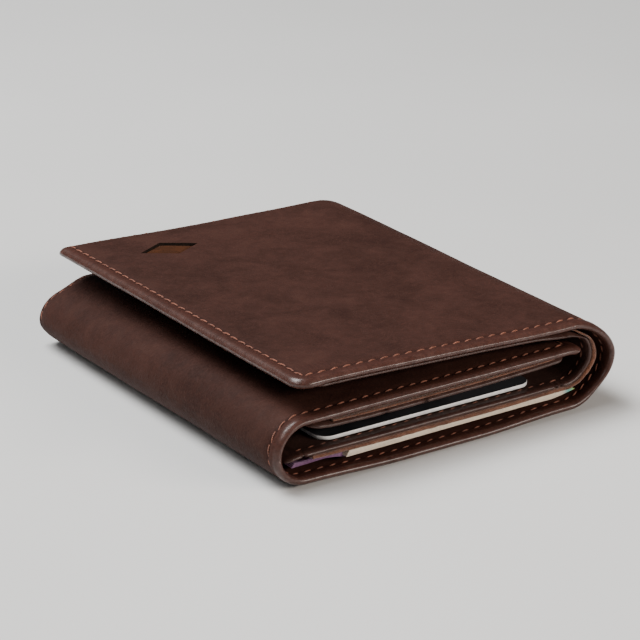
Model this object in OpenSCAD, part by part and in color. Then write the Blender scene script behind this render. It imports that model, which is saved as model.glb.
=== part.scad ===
// Trifold wallet, folded shut and lying on its centre panel.
//
// X runs across the wallet, from the left fold to the right fold. Y runs along the folds, from the
// mouth end, where the note compartment opens, to the closed end. Z is up, and the origin is at the
// middle of the face that the wallet lies on. The right fold is cut into strips that turn one
// after the other, as a bend in leather does, so that the outer flap unrolls and lies flat.

/* [Wallet] */
// Width of the folded wallet, fold to fold
wallet_w = 86; // [84:1:90]
// Height of the wallet, along the folds
wallet_h = 100; // [98:1:112]
// Thickness of the whole folded wallet, and so the height of the right fold
wallet_t = 22; // [22:0.5:24]
// Height of the left fold, which the inner flap turns over
left_fold_t = 15.2; // [15.2:0.1:15.6]
// Thickness of the shell leather with its turned hem
shell_t = 1.6; // [1.4:0.1:1.7]

/* [Flaps] */
// Distance from the left fold to the outer flap's free edge
outer_flap_inset = 4.3; // [3:0.1:8]
// Distance from the right fold to the inner flap's free edge
inner_flap_inset = 8.5; // [8.5:0.1:12]
// Corner radius of the flaps' free corners
flap_corner_r = 4; // [2:0.5:8]
// Radius of the free corners on the inner flap
inner_corner_r = 1.8; // [1.5:0.1:4]

/* [Note compartment] */
// Clear height of the compartment at its mouth
compartment_gap = 3.8; // [3.2:0.1:3.8]
// Thickness of the suede lining
lining_t = 0.6; // [0.5:0.1:0.8]
// Thickness of the pocket panel's leather with its turned hem
panel_t = 1.4; // [1:0.1:1.4]
// Thickness of the leather band that carries the pocket panel round the right fold
band_t = 1.3; // [1:0.1:1.4]

/* [Card slots] */
// Thickness of one slot piece on the centre panel
slot_t = 0.5; // [0.4:0.05:0.5]
// Thickness of one slot piece on the outer flap
flap_slot_t = 0.5; // [0.4:0.05:0.6]
// Step from one slot's mouth to the next
slot_pitch = 10; // [8:0.5:12]
// Clear height of the slot that holds the card
card_gap = 1.05; // [1:0.01:1.05]

/* [Contents] */
// Width of a standard card
card_w = 53.98; // [53.98:0.01:54.03]
// Length of a standard card
card_l = 85.6; // [85.47:0.01:85.72]
// Thickness of a standard card
card_t = 0.76; // [0.7:0.01:0.8]
// Width of a banknote folded in half
note_w = 57; // [54:1:58]
// Depth of a banknote folded in half
note_d = 64; // [60:1:70]

/* [Stitching] */
// Distance from an edge to its row of stitches
stitch_inset = 3.2; // [3:0.1:4]
// Distance from the closed end to its row of stitches
closed_stitch_inset = 2; // [1.8:0.1:4]
// Pitch of the stitches
stitch_pitch = 3; // [3:0.1:5]

/* [Hidden] */
$fn = 96;

leather = "#4a2d26";
inner_leather = "#3a221c";
suede = "#a3562c";
thread = "#c07050";

mouth_y = -wallet_h / 2;
closed_y = wallet_h / 2;
left_x = -wallet_w / 2;
right_x = wallet_w / 2;

// The folds are half rounds: the right one as high as the wallet, the left one under the outer flap.
right_r = wallet_t / 2;
right_cx = right_x - right_r;
left_r = left_fold_t / 2;
left_cx = left_x + left_r;

// The right fold opens at four lines on its outer face, each by this angle.
fold_lines = 4;
fold_step = 180 / fold_lines;
fold_gap = 0.6; // clearance each side of a fold line, in degrees
body_gap = 0.1; // clearance between a flap and the fold that it turns on

// Heights in the centre panel's stack, from the table up.
lining_z = shell_t + compartment_gap;
panel_z = lining_z + lining_t;
panel_top = panel_z + panel_t;
slot_z = panel_top + card_gap;
panel_x0 = left_x + 3.2;
panel_x1 = right_x - 12.4;
closing_y = closed_y - 7; // where the pocket panel starts down towards the shell
closing_run = 5;

// Heights in the inner flap's stack, from its outer face down.
inner_shell_z = left_fold_t - shell_t;
inner_lining_t = 0.4;
inner_lining_z = inner_shell_z - 1.1;
inner_panel_t = 0.8;
inner_panel_z = inner_lining_z - inner_panel_t;
inner_x0 = left_x + 9;
inner_x1 = right_x - inner_flap_inset;

// Heights in the outer flap's stack, from its outer face down.
outer_shell_z = wallet_t - shell_t;
outer_lining_t = 0.4;
outer_lining_z = outer_shell_z - outer_lining_t;
outer_panel_t = 0.8;
outer_panel_z = outer_lining_z - outer_panel_t;
outer_x0 = left_x + outer_flap_inset;

// The band round the right fold meets the pocket panels of the centre and of the outer flap.
band_low = panel_z - 0.1;
band_high = outer_lining_z;
band_r = (band_high - band_low) / 2;
band_cz = (band_high + band_low) / 2;
band_cx = panel_x1;

// The die-cut emblem in the outer flap's far corner.
emblem_x = left_x + 26.5;
emblem_y = closed_y - 15.5;
emblem_w = 15;
emblem_l = 9;
inlay_t = 0.7;

// Where the contents lie.
card_z = panel_top + (card_gap - card_t) / 2;
card_y = mouth_y + 3.4;
card_cx = left_x + 40;
slot_rim = 1.6;
slot_side_gap = 0.3;
stitch_l = 2.4;
stitch_w = 0.5;
stitch_h = 0.1;

// A rectangle in plan with round corners at its low-X end, at its high-X end, or at both.
module plan(x0, x1, y0, y1, r_low, r_high) {
    module corner(x, y, r, sx, sy) {
        translate([x + sx * r, y + sy * r]) circle(r);
    }
    translate([x0 + r_low, y0]) square([x1 - x0 - r_low - r_high, y1 - y0]);
    translate([x0, y0 + r_low]) square([x1 - x0, y1 - y0 - 2 * max(r_low, r_high)]);
    if (r_low > 0) for (s = [0, 1]) corner(x0, s ? y1 : y0, r_low, 1, s ? -1 : 1);
    if (r_high > 0) for (s = [0, 1]) corner(x1, s ? y1 : y0, r_high, -1, s ? -1 : 1);
}

// A flat piece with its underside at height z.
module sheet(x0, x1, y0, y1, z, t, r_low = 0, r_high = 0) {
    translate([0, 0, z]) linear_extrude(t) plan(x0, x1, y0, y1, r_low, r_high);
}

// What is drawn in X and Z, run along the folds from y0 to y1.
module along_fold(y0, y1) {
    translate([0, y1, 0]) rotate([90, 0, 0]) linear_extrude(y1 - y0) children();
}

// A wedge in X and Z about a centre, from angle a0 to a1, measured from straight down towards dir.
module wedge(cx, cz, reach, a0, a1, dir) {
    translate([cx, cz]) polygon([
        [0, 0],
        [dir * reach * sin(a0), -reach * cos(a0)],
        [dir * reach * sin((a0 + a1) / 2), -reach * cos((a0 + a1) / 2)],
        [dir * reach * sin(a1), -reach * cos(a1)]
    ]);
}

// A ring in X and Z with outer radius r and wall t.
module ring(cx, cz, r, t) {
    translate([cx, cz]) difference() {
        circle(r);
        circle(r - t);
    }
}

// The part of the right fold's shell between two angles.
module right_arc(a0, a1) {
    intersection() {
        ring(right_cx, right_r, right_r, shell_t);
        wedge(right_cx, right_r, 2 * right_r, a0, a1, 1);
    }
}

// Strip number n of the right fold, counted up from the table, with clearance at its fold lines.
function strip_low(n) = fold_step * (n - 0.5) + fold_gap;
function strip_high(n) = fold_step * (n + 0.5) - fold_gap;

// The pocket panel band's share of the sector between two angles.
module band_arc(a0, a1) {
    intersection() {
        ring(band_cx, band_cz, band_r, band_t);
        wedge(right_cx, right_r, 2 * right_r, a0, a1, 1);
        translate([band_cx, 0]) square([2 * band_r, wallet_t]);
    }
}

// A row of stitches along X or Y, each one a short bar lying on height z.
module stitch_row(x, y, z, length, along_y = false) {
    count = floor(length / stitch_pitch);
    for (i = [0 : count - 1]) {
        s = (i + 0.5) * length / count - stitch_l / 2;
        translate([x + (along_y ? -stitch_w / 2 : s), y + (along_y ? s : -stitch_w / 2), z])
            cube(along_y ? [stitch_w, stitch_l, stitch_h] : [stitch_l, stitch_w, stitch_h]);
    }
}

// Shell: one piece of leather on the real wallet, cut here where it bends.
module center_shell() {
    color(leather) along_fold(mouth_y, closed_y) {
        translate([left_cx, 0]) square([right_cx - left_cx, shell_t]);
        right_arc(0, fold_step / 2 - fold_gap);
    }
}

module left_spine_shell() {
    color(leather) along_fold(mouth_y, closed_y) intersection() {
        ring(left_cx, left_r, left_r, shell_t);
        translate([left_x, 0]) square([left_r, left_fold_t]);
    }
}

module right_spine_shell(n) {
    color(leather) along_fold(mouth_y, closed_y) right_arc(strip_low(n), strip_high(n));
}

module emblem_outline() {
    polygon([[-emblem_w / 2, 0], [0, -emblem_l / 2], [emblem_w / 2, 0], [0, emblem_l / 2]]);
}

module outer_flap_shell() {
    color(leather) difference() {
        intersection() {
            along_fold(mouth_y, closed_y) {
                translate([outer_x0, outer_shell_z]) square([right_cx - outer_x0, shell_t]);
                right_arc(180 - fold_step / 2 + fold_gap, 180);
            }
            sheet(outer_x0, right_x, mouth_y, closed_y, 0, wallet_t, flap_corner_r, 0);
        }
        translate([emblem_x, emblem_y, outer_shell_z - 1])
            linear_extrude(shell_t + 2) emblem_outline();
    }
}

module inner_flap_shell() {
    color(leather)
        sheet(left_cx + body_gap, inner_x1, mouth_y, closed_y, inner_shell_z, shell_t, 0, inner_corner_r);
}

// Pocket panel and lining of the centre: flat, then down to the shell at the closed end, where
// the layer starts at x1 so that it clears the left fold.
module closing_layer(x0, x1, x2, z, t) {
    drop = lining_z - shell_t;
    y0 = mouth_y + 0.6;
    y1 = closing_y + closing_run;
    sheet(x0, x2, y0, closing_y, z, t);
    translate([x1, 0, 0]) rotate([90, 0, 90]) linear_extrude(x2 - x1) polygon([
        [closing_y - 1, z], [closing_y, z], [y1, z - drop], [closed_y - 0.4, z - drop],
        [closed_y - 0.4, z - drop + t], [y1, z - drop + t], [closing_y, z + t],
        [closing_y - 1, z + t]
    ]);
}

module center_lining() {
    color(suede) closing_layer(left_cx + 1.4, left_cx + 1.4, panel_x1, lining_z, lining_t);
}

module center_panel() {
    color(inner_leather) closing_layer(panel_x0, left_cx + 1.4, panel_x1, panel_z, panel_t);
}

// The inner leather that lies against the left fold's upper quarter.
module left_spine_band() {
    color(inner_leather) along_fold(mouth_y + 3, closed_y - 3) intersection() {
        ring(left_cx, left_r, left_r - shell_t, band_t);
        translate([left_x, left_r + 0.4]) square([left_r, left_r]);
    }
}

module spine_band(n) {
    a0 = n == 1 ? 0 : strip_low(n - 1);
    a1 = n == 5 ? 180 : strip_high(n - 1);
    color(inner_leather) along_fold(mouth_y + 0.6, closed_y - 0.6) band_arc(a0, a1);
}

// Slots of the centre panel: they open towards the mouth end, and the lowest one holds the card.
module center_slot(n) {
    x0 = card_cx - card_w / 2 - slot_side_gap - slot_rim;
    x1 = card_cx + card_w / 2 + slot_side_gap + slot_rim;
    y0 = mouth_y + 6 + slot_pitch * n;
    z = slot_z + (n - 1) * slot_t;
    color(inner_leather) {
        sheet(x0, x1, y0, closing_y, z, slot_t);
        if (n == 1) difference() {
            sheet(x0, x1, y0, closing_y, panel_top, card_gap);
            sheet(x0 + slot_rim, x1 - slot_rim, y0 - 1, card_y + card_l + slot_side_gap,
                panel_top - 1, card_gap + 2);
        }
    }
}

// Slots of the flaps: they open towards the flap's own fold.
module outer_flap_slot(n) {
    color(inner_leather) sheet(outer_x0 + 4, right_cx - 5 - slot_pitch * n, mouth_y + 4,
        closed_y - 4, outer_panel_z - n * flap_slot_t, flap_slot_t, 1, 0);
}

module inner_flap_slot(n) {
    color(inner_leather) sheet(inner_x0 + 8 + slot_pitch * n, inner_x1 - 1, mouth_y + 1,
        closed_y - 1, inner_panel_z - n * slot_t, slot_t, 0, inner_corner_r - 1);
}

module outer_flap_lining() {
    color(suede) sheet(outer_x0 + 1, band_cx, mouth_y + 1, closed_y - 1, outer_lining_z,
        outer_lining_t, flap_corner_r - 1, 0);
}

module outer_flap_panel() {
    color(inner_leather) sheet(outer_x0 + 0.8, band_cx, mouth_y + 0.8, closed_y - 0.8,
        outer_panel_z, outer_panel_t, flap_corner_r - 0.8, 0);
}

module inner_flap_lining() {
    color(suede) sheet(inner_x0, inner_x1 - 4, mouth_y + 1, closed_y - 1, inner_lining_z,
        inner_lining_t);
}

// The inner flap's panel, with the seam that closes the compartment at the free and closed ends.
module inner_flap_panel() {
    seam_t = inner_shell_z - inner_panel_z;
    seam_w = 3.6;
    color(inner_leather) {
        sheet(inner_x0, inner_x1 - 0.8, mouth_y + 0.8, closed_y - 0.8, inner_panel_z,
            inner_panel_t, 0, inner_corner_r - 0.8);
        intersection() {
            sheet(inner_x0, inner_x1 - 0.8, mouth_y + 0.8, closed_y - 0.8, inner_panel_z,
                seam_t, 0, inner_corner_r - 0.8);
            sheet(inner_x1 - seam_w, inner_x1, mouth_y, closed_y, inner_panel_z, seam_t);
        }
    }
}

// The tan leather that shows through the die-cut emblem.
module emblem_inlay() {
    color(suede) translate([emblem_x, emblem_y, outer_shell_z])
        linear_extrude(inlay_t) emblem_outline();
}

module center_stitching() {
    color(thread) {
        stitch_row(panel_x0 + 2, mouth_y + stitch_inset, panel_top, panel_x1 - panel_x0 - 2);
        stitch_row(left_cx, mouth_y + stitch_inset, shell_t, right_cx - left_cx);
    }
}

module outer_flap_stitching() {
    row_x = outer_x0 + stitch_inset;
    color(thread) {
        for (y = [mouth_y + stitch_inset, closed_y - closed_stitch_inset])
            stitch_row(row_x + 1, y, wallet_t, right_cx - row_x - 1);
        stitch_row(row_x, mouth_y + stitch_inset + 1, wallet_t,
            wallet_h - stitch_inset - closed_stitch_inset - 2, true);
    }
}

module inner_flap_stitching() {
    row_x = inner_x1 - stitch_inset;
    color(thread) {
        for (y = [mouth_y + stitch_inset, closed_y - closed_stitch_inset])
            stitch_row(left_cx + 1, y, left_fold_t, row_x - left_cx - 2);
        stitch_row(row_x, mouth_y + stitch_inset + 1, left_fold_t,
            wallet_h - stitch_inset - closed_stitch_inset - 2, true);
    }
}

module card() {
    corner_r = 3.18;
    color("white") sheet(card_cx - card_w / 2, card_cx + card_w / 2, card_y, card_y + card_l,
        card_z, card_t, corner_r, corner_r);
}

module note_cream() {
    color("#cdbfae") sheet(left_x + 18.5, left_x + 18.5 + note_w, mouth_y + 3,
        mouth_y + 3 + note_d, shell_t + 1.9, 1.4);
}

module note_purple() {
    color("#7d5f84") sheet(left_x + 5.5, left_x + 5.5 + note_w, mouth_y + 4.5,
        mouth_y + 4.5 + note_d, shell_t + 1.1, 0.6);
}

center_shell();
left_spine_shell();
center_lining();
center_panel();
left_spine_band();
center_slot(1);  // center_slot_1
center_slot(2);  // center_slot_2
center_slot(3);  // center_slot_3
center_stitching();
right_spine_shell(1);  // right_spine_shell_1
right_spine_shell(2);  // right_spine_shell_2
right_spine_shell(3);  // right_spine_shell_3
spine_band(1);  // spine_band_1
spine_band(2);  // spine_band_2
spine_band(3);  // spine_band_3
spine_band(4);  // spine_band_4
spine_band(5);  // spine_band_5
outer_flap_shell();
outer_flap_lining();
outer_flap_panel();
outer_flap_slot(1);  // outer_flap_slot_1
outer_flap_slot(2);  // outer_flap_slot_2
outer_flap_slot(3);  // outer_flap_slot_3
emblem_inlay();
outer_flap_stitching();
inner_flap_shell();
inner_flap_lining();
inner_flap_panel();
inner_flap_slot(1);  // inner_flap_slot_1
inner_flap_slot(2);  // inner_flap_slot_2
inner_flap_stitching();
card();
note_cream();
note_purple();
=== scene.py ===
"""The looks of a trifold wallet in oiled brown leather, folded shut and lying on its centre."""

import math

import bmesh
import bpy
import numpy as np
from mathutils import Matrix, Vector, noise


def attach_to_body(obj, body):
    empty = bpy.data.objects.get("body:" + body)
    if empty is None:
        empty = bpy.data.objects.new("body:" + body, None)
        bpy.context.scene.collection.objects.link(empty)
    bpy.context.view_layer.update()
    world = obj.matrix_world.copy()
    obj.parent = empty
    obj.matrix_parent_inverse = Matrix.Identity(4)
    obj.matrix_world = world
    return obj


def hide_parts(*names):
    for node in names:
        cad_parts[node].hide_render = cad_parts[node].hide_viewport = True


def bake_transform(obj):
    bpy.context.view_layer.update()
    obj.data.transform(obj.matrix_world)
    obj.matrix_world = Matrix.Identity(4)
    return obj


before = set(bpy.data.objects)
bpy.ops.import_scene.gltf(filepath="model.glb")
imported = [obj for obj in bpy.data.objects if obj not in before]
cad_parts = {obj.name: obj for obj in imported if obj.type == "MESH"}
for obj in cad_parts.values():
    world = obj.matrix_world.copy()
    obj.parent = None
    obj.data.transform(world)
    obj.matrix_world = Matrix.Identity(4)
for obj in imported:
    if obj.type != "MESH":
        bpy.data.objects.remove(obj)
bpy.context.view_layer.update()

# ---- Shell -------------------------------------------------------------------------------------
# The shell is one piece of oiled brown leather, folded twice round the rest. Its edges are skived,
# turned over and pressed, so they are round and a little thick, and the thread lies in a groove.

MM = 0.001
HALF_H = 50.0  # half the wallet's height, from the mouth end to the closed end
SHELL_T = 1.6
LEFT_FOLD_R = 7.6
RIGHT_FOLD_R = 11.0
LEFT_FOLD_X = -35.4
RIGHT_FOLD_X = 32.0
SEAM_INSET = 3.2  # from an edge to its stitches
CLOSED_INSET = 2.0  # the same, at the closed end
CLOSING_Y = 43.0  # where the inner layers start down towards the shell
CLOSED_Y = 48.0
INNER_CORNER_R = 1.8
OUTER_CORNER_R = 4.0
FLAP_SPRING = 1.2  # how far the outer flap stands up at its free edge
FOLD_SINK, FAR_SINK = 1.2, 0.3  # how low it lies at its fold, at the mouth and at the closed end
UNDERSIDE_LIFT = 0.75  # of the underside towards both folds
FOLD_BULGE, FOLD_TUCK = 1.25, 0.8  # of the right fold, at half its height and near the table
END_PRESS, LEFT_PRESS = 0.045, 0.15  # how much thinner the closed end is, and the left fold there
END_NARROWING = 0.6


def smooth(t):
    """0 below 0 and 1 above 1, with a soft start and end."""
    t = np.clip(t, 0.0, 1.0)
    return t * t * (3 - 2 * t)


def line(start, end, count=40):
    return [
        (start[0] + (end[0] - start[0]) * i / count, start[1] + (end[1] - start[1]) * i / count)
        for i in range(count + 1)
    ]


def arc(center, radius, low, high, count=16):
    """Points round a fold. Angles run from straight down, and turn towards +X."""
    angles = [math.radians(low + (high - low) * i / count) for i in range(count + 1)]
    return [
        (center[0] + radius * math.sin(a), center[1] - radius * math.cos(a)) for a in angles
    ]


class Layer:
    """The line that a layer's outer face follows in X and Z. Its outside is on the line's right.

    At the closed end a layer may follow another line, cut into as many parts.
    """

    def __init__(self, parts, closed_parts=None):
        self.mouth, self.marks = self.join(parts)
        self.closed = self.mouth if closed_parts is None else self.join(closed_parts)[0]
        steps = np.hypot(*np.diff(self.mouth, axis=0).T)
        self.s = np.concatenate([[0.0], np.cumsum(steps)])
        self.marks = [float(self.s[i]) for i in self.marks]

    @staticmethod
    def join(parts):
        points, marks = list(parts[0]), [0]
        for part in parts[1:]:
            marks.append(len(points) - 1)
            points += part[1:]
        return np.array(points), [*marks, len(points) - 1]

    def where(self, s, y):
        shut = smooth((y - CLOSING_Y) / (CLOSED_Y - CLOSING_Y))
        return [
            (1 - shut) * np.interp(s, self.s, self.mouth[:, k])
            + shut * np.interp(s, self.s, self.closed[:, k])
            for k in (0, 1)
        ]

    def frame_at(self, s, y, reach=0.5):
        """Place and outward direction, both in X and Z, at a distance s along the line."""
        x, z = self.where(s, y)
        ax, az = self.where(np.maximum(s - reach, 0), y)
        bx, bz = self.where(np.minimum(s + reach, self.s[-1]), y)
        size = np.hypot(bx - ax, bz - az)
        return x, z, (bz - az) / size, -(bx - ax) / size


def settle(x, y, z):
    """Where a used wallet lets a point lie, in X and Z.

    The underside lifts at both folds. The outer flap springs up at its free edge and lies low at
    its fold, and the closed end is pressed thin, most of all in the left fold.
    """
    cover = smooth((z - 15.5) / 1.8)
    shut = smooth((y - 46) / 4)
    at_left = smooth((-30 - x) / 8) * (1 - cover)
    at_right = smooth((x - 35.5) / 3)
    right_side, left_side = smooth((x - 33) / 8), smooth((-33 - x) / 9) * (1 - cover)
    upper = (1 - at_right) * smooth((z - 15.6) / 3.5) + at_right * smooth((z - 6) / 14)
    low = FOLD_SINK - (FOLD_SINK - FAR_SINK) * smooth((y + 40) / 80)
    spring = FLAP_SPRING * smooth((6 - x) / 44) - low * smooth((x + 4) / 34)
    lift = UNDERSIDE_LIFT * smooth((np.abs(x + 2) - 9) / 24) * (1 - smooth((z - 1) / 8))
    pressed = 1 - END_PRESS * shut - LEFT_PRESS * at_left * smooth((y + 15) / 60)
    bulge = FOLD_BULGE * np.exp(-(((z - 13) / 6) ** 2))
    bulge = bulge - FOLD_TUCK * np.exp(-(((z - 3) / 3) ** 2))
    narrowing = END_NARROWING * shut
    new_x = x + right_side * (bulge - narrowing) + left_side * narrowing
    return new_x, z * pressed + lift + spring * upper


def waves(x, y, z):
    """The slow unevenness of soft leather. It dies out on the face that lies on the table."""
    sizes = ((26, 0.20), (9, 0.075), (3.5, 0.025))
    total = [
        sum(h * noise.noise(Vector((a / w, b / w, c / w + w))) for w, h in sizes)
        for a, b, c in zip(x.ravel(), y.ravel(), z.ravel())
    ]
    return np.array(total).reshape(x.shape) * smooth((z - 0.2) / 2)


def settled(layer, s, y, offset):
    """X and Z of a point at a distance s along a layer, offset from its outer face."""
    x, z, nx, nz = layer.frame_at(s, y)
    wave = waves(x + nx * offset, y, z + nz * offset)
    x, z = settle(x + nx * (offset + wave * 0.6), y, z + nz * (offset + wave * 0.6))
    return x, np.maximum(z, 0.0)


# Distances from a turned edge at which the mesh is cut, across its round, its swell and its seam.
NEAR_EDGE = (0, 0.06, 0.16, 0.32, 0.55, 0.85, 1.2, 1.6, 2.0)
NEAR_EDGE += (2.4, 2.8, 3.1, 3.3, 3.6, 4.0, 4.6, 5.5, 6.8)


def spread(length, step, fine_low, fine_high):
    """Distances along a side, about a step apart, and closer together near a turned edge."""
    low = list(NEAR_EDGE) if fine_low else [0.0]
    high = [length - d for d in reversed(NEAR_EDGE)] if fine_high else [length]
    if high[0] <= low[-1] + 0.3:
        middle = length / 2
        low, high = [d for d in low if d < middle - 0.1], [d for d in high if d > middle + 0.1]
    count = max(1, round((high[0] - low[-1]) / step))
    between = [low[-1] + (high[0] - low[-1]) * i / count for i in range(1, count)]
    return np.array(low + between + high)


def new_object(name, data):
    made = bpy.data.objects.new(name, data)
    bpy.context.scene.collection.objects.link(made)
    return made


def fill_mesh(piece, bm):
    """Gives a piece its closed mesh, all of it smooth, with its faces turned outwards."""
    bmesh.ops.recalc_face_normals(bm, faces=bm.faces)
    for f in bm.faces:
        f.smooth = True
    bm.to_mesh(piece.data)
    bm.free()
    return piece


def leather_piece(
    name, layer, s_range, thickness, free=(False, False), y_range=(-HALF_H, HALF_H), corner=0.0,
    hem=1.0, seam=SEAM_INSET, step=1.1, nicks=(), retreat=0.0, fresh=0.0,
):
    """A cut of leather along part of a layer, with round edges, closed on every side.

    free says whether its low and its high end are edges of the leather, and not cuts in this model.
    hem is how strongly the turned edge swells and the seam sinks, and may be 0. nicks are where the
    edge at the mouth is notched, and retreat is how far that edge is drawn back, by distance.
    Along its edges the leather shows no wear for as many mm as fresh says.
    """
    s0, s1 = s_range
    y0, y1 = y_range
    rows = y0 + spread(y1 - y0, 1.6, True, True)
    along = spread(s1 - s0, step, *free)
    close_by = (-0.7, -0.4, -0.2, 0, 0.2, 0.4, 0.7)
    extra = [n - s0 + d for n in nicks for d in close_by if s0 + 0.8 < n < s1 - 0.8]
    along = np.unique(np.concatenate([along, extra]).round(4))
    to_end = np.maximum(np.minimum(rows - y0, y1 - rows), 0)
    bite = np.zeros_like(rows)
    if corner:
        near = to_end < corner
        bite[near] = corner - np.sqrt(corner**2 - (corner - to_end[near]) ** 2)
    length = s1 - s0
    low_bite = bite if free[0] else np.zeros_like(bite)
    high_bite = bite if free[1] else np.zeros_like(bite)
    share = (length - low_bite - high_bite) / length
    S = s0 + low_bite[:, None] + along[None, :] * share[:, None]
    Y = np.repeat(rows[:, None], len(along), axis=1)
    D = np.minimum(Y - y0, y1 - Y)
    for is_free, from_end in zip(free, (S - s0, s1 - S)):
        if is_free:
            inside = (D < corner) & (from_end < corner)
            round_d = corner - np.hypot(corner - D, corner - from_end)
            D = np.where(inside, round_d, np.minimum(D, from_end))
    D = np.maximum(D, 0)
    to_seam = D + np.where(y1 - Y <= D + 1e-6, SEAM_INSET - CLOSED_INSET, 0)
    notch = sum(np.exp(-(((S - n) / 0.34) ** 2)) for n in nicks) * (1 - smooth((Y - y0) / 2.6))
    Y = Y + 0.6 * notch
    if callable(retreat):
        Y = Y + retreat(S) * (1 - smooth((Y - y0) / 9))
    T = thickness(S) if callable(thickness) else np.full_like(S, thickness)
    edge = np.sqrt(np.maximum(1 - (1 - np.minimum(D / (0.62 * T), 1)) ** 2, 0))
    swell = 0.16 * smooth(D / 0.9) * (1 - smooth((D - 1.9) / 1.5))
    groove = 0.2 * np.exp(-(((to_seam - seam) / 0.55) ** 2))
    rise = 0.1 * smooth((to_seam - seam) / 2.6)
    roll = 0.28 * (1 - np.minimum(D / 2.6, 1)) ** 2
    relief = hem * (swell - groove + rise - roll)
    relief = relief - 0.35 * notch
    outer = -T / 2 + edge * (T / 2 + relief)
    inner = -T / 2 - edge * (T / 2 + 0.5 * hem * (swell - groove) - 0.3 * notch)

    piece = new_object(name, bpy.data.meshes.new(name))
    bm = bmesh.new()
    distance = bm.verts.layers.float.new("edge_mm")
    grids = []
    for offset in (outer, inner):
        px, pz = settled(layer, S, Y, offset)
        grid = []
        for r in range(len(rows)):
            line_of = []
            for c in range(len(along)):
                vert = bm.verts.new((px[r, c] * MM, Y[r, c] * MM, pz[r, c] * MM))
                vert[distance] = float(to_seam[r, c]) + fresh
                line_of.append(vert)
            grid.append(line_of)
        grids.append(grid)
    top, under = grids
    last_r, last_c = len(rows) - 1, len(along) - 1
    for r in range(last_r):
        for c in range(last_c):
            bm.faces.new((top[r][c], top[r][c + 1], top[r + 1][c + 1], top[r + 1][c]))
            bm.faces.new((under[r][c], under[r + 1][c], under[r + 1][c + 1], under[r][c + 1]))
        for c, is_free in ((0, free[0]), (last_c, free[1])):
            if not is_free and 0 < r < last_r - 1:
                wall = bm.faces.new((top[r][c], top[r + 1][c], under[r + 1][c], under[r][c]))
                for e in wall.edges:
                    e.smooth = False
    bmesh.ops.remove_doubles(bm, verts=bm.verts, dist=0.002 * MM)
    ends = [e for e in bm.edges if e.is_boundary]
    if ends:
        bmesh.ops.holes_fill(bm, edges=ends, sides=0)
    bmesh.ops.dissolve_degenerate(bm, edges=bm.edges, dist=0.0005 * MM)
    return fill_mesh(piece, bm)


right_fold_center = (RIGHT_FOLD_X, RIGHT_FOLD_R)
left_fold_center = (LEFT_FOLD_X, LEFT_FOLD_R)
left_top = 2 * LEFT_FOLD_R
wallet_top = 2 * RIGHT_FOLD_R
INNER_TIP_X = 34.9
TIP_DROOP = 0.3  # leaves the inner flap room to lift inside the fold
OUTER_TIP_X = -37.9
shell = Layer(
    [
        [
            *line((INNER_TIP_X, left_top - TIP_DROOP), (31.4, left_top), 4),
            *line((31.4, left_top), (-24, left_top))[1:],
        ],
        line((-24, left_top), (LEFT_FOLD_X, left_top)),
        arc(left_fold_center, LEFT_FOLD_R, -180, -90),
        arc(left_fold_center, LEFT_FOLD_R, -90, 0),
        line((LEFT_FOLD_X, 0), (RIGHT_FOLD_X, 0)),
        arc(right_fold_center, RIGHT_FOLD_R, 0, 45),
        arc(right_fold_center, RIGHT_FOLD_R, 45, 90),
        arc(right_fold_center, RIGHT_FOLD_R, 90, 135),
        arc(right_fold_center, RIGHT_FOLD_R, 135, 180),
        line((RIGHT_FOLD_X, wallet_top), (OUTER_TIP_X, wallet_top)),
    ]
)


class Socket:
    """A shader socket that takes part in sums, so that a pattern reads as an expression."""

    def __init__(self, tree, socket):
        self.tree, self.socket = tree, socket

    def math(self, operation, *values):
        return node(self.tree, "ShaderNodeMath", {"operation": operation}, *values)

    def __add__(self, other):
        return self.math("ADD", self, other)

    def __sub__(self, other):
        return self.math("SUBTRACT", self, other)

    def __rsub__(self, other):
        return self.math("SUBTRACT", other, self)

    def __mul__(self, other):
        return self.math("MULTIPLY", self, other)

    def __truediv__(self, other):
        return self.math("DIVIDE", self, other)

    def __pow__(self, other):
        return self.math("POWER", self, other)

    __radd__ = __add__
    __rmul__ = __mul__

    def between(self, low, high, to_low=0.0, to_high=1.0):
        """This value carried from one range to another, softly, and held at both ends."""
        return node(
            self.tree, "ShaderNodeMapRange", {"interpolation_type": "SMOOTHSTEP"}, self, low,
            high, to_low, to_high,
        )


def node(tree, kind, settings=(), *values, out=0, **named):
    """One shader node. Its settings come first, and then the values or links of its sockets."""
    made = tree.nodes.new(kind)
    for key, value in dict(settings).items():
        if key == "stops":
            ramp = made.color_ramp
            while len(ramp.elements) < len(value):
                ramp.elements.new(0.5)
            for element, (place, color) in zip(ramp.elements, value):
                element.position, element.color = place, (*color, 1)
        else:
            setattr(made, key, value)
    pairs = [(made.inputs[i], v) for i, v in enumerate(values) if v is not None]
    pairs += [(made.inputs[k.replace("_", " ")], v) for k, v in named.items()]
    for socket, value in pairs:
        if isinstance(value, Socket):
            tree.links.new(value.socket, socket)
        else:
            socket.default_value = value
    return Socket(tree, made.outputs[out])


def mix_color(tree, mask, low, high, blend="MIX"):
    low, high = ((*c, 1) if isinstance(c, tuple) else c for c in (low, high))
    settings = {"data_type": "RGBA", "blend_type": blend}
    made = node(tree, "ShaderNodeMix", settings, mask)
    mixer = made.socket.node
    for socket, value in ((mixer.inputs[6], low), (mixer.inputs[7], high)):
        if isinstance(value, Socket):
            tree.links.new(value.socket, socket)
        else:
            socket.default_value = value
    return Socket(tree, mixer.outputs[2])


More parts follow.
